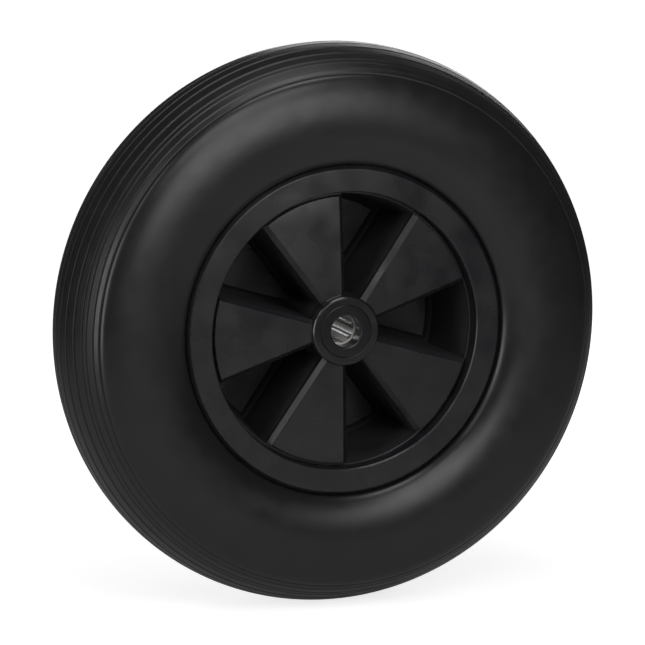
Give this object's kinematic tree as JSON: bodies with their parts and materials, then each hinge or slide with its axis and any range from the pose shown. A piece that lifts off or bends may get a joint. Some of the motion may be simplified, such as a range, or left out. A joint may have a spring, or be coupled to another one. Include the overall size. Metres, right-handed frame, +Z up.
{
  "type": "wheelbarrow wheel",
  "caption": "Puncture-proof wheel with a solid ribbed foam tyre, a moulded rim folded into plates and a caged roller bearing for an axle.",
  "frame": {"origin": "centre of the wheel, midway between its faces on the spin axis", "axes": "+Y along the spin axis, away from the face in view; +Z up, +X to the right of that face"},
  "size_m": [0.4, 0.1, 0.4],
  "materials": {
    "tyre": "satin moulded foam skin",
    "rim": "moulded, satin",
    "cap": "moulded, satin",
    "cage": "moulded, natural",
    "bearing_steel": "drawn tube",
    "roller_steel": "ground"
  },
  "bodies": {
    "wheel": {"tyre": "tyre", "rim": "rim", "bearing_sleeve": "bearing_steel", "front_cap": "cap", "rear_cap": "cap"},
    "cage": {"roller_cage": "cage"},
    "roller_1": {"roller_1": "roller_steel"},
    "roller_2": {"roller_2": "roller_steel"},
    "roller_3": {"roller_3": "roller_steel"},
    "roller_4": {"roller_4": "roller_steel"},
    "roller_5": {"roller_5": "roller_steel"},
    "roller_6": {"roller_6": "roller_steel"},
    "roller_7": {"roller_7": "roller_steel"},
    "roller_8": {"roller_8": "roller_steel"}
  },
  "joints": [
    {"name": "cage_spin", "type": "hinge", "parent": "wheel", "child": "cage", "pos_m": [0, 0, 0], "axis": [0, 1, 0], "continuous": true},
    {"name": "roller_1_spin", "type": "hinge", "parent": "cage", "child": "roller_1", "pos_m": [0.00979, 0, -0.00793], "axis": [0, 1, 0], "continuous": true},
    {"name": "roller_2_spin", "type": "hinge", "parent": "cage", "child": "roller_2", "pos_m": [0.01253, 0, 0.00132], "axis": [0, 1, 0], "continuous": true},
    {"name": "roller_3_spin", "type": "hinge", "parent": "cage", "child": "roller_3", "pos_m": [0.00793, 0, 0.00979], "axis": [0, 1, 0], "continuous": true},
    {"name": "roller_4_spin", "type": "hinge", "parent": "cage", "child": "roller_4", "pos_m": [-0.00132, 0, 0.01253], "axis": [0, 1, 0], "continuous": true},
    {"name": "roller_5_spin", "type": "hinge", "parent": "cage", "child": "roller_5", "pos_m": [-0.00979, 0, 0.00793], "axis": [0, 1, 0], "continuous": true},
    {"name": "roller_6_spin", "type": "hinge", "parent": "cage", "child": "roller_6", "pos_m": [-0.01253, 0, -0.00132], "axis": [0, 1, 0], "continuous": true},
    {"name": "roller_7_spin", "type": "hinge", "parent": "cage", "child": "roller_7", "pos_m": [-0.00793, 0, -0.00979], "axis": [0, 1, 0], "continuous": true},
    {"name": "roller_8_spin", "type": "hinge", "parent": "cage", "child": "roller_8", "pos_m": [0.00132, 0, -0.01253], "axis": [0, 1, 0], "continuous": true}
  ],
  "couplings": [
    {"joint": "roller_1_spin", "follows": "cage_spin", "ratio": -6.16},
    {"joint": "roller_2_spin", "follows": "cage_spin", "ratio": -6.16},
    {"joint": "roller_3_spin", "follows": "cage_spin", "ratio": -6.16},
    {"joint": "roller_4_spin", "follows": "cage_spin", "ratio": -6.16},
    {"joint": "roller_5_spin", "follows": "cage_spin", "ratio": -6.16},
    {"joint": "roller_6_spin", "follows": "cage_spin", "ratio": -6.16},
    {"joint": "roller_7_spin", "follows": "cage_spin", "ratio": -6.16},
    {"joint": "roller_8_spin", "follows": "cage_spin", "ratio": -6.16}
  ]
}
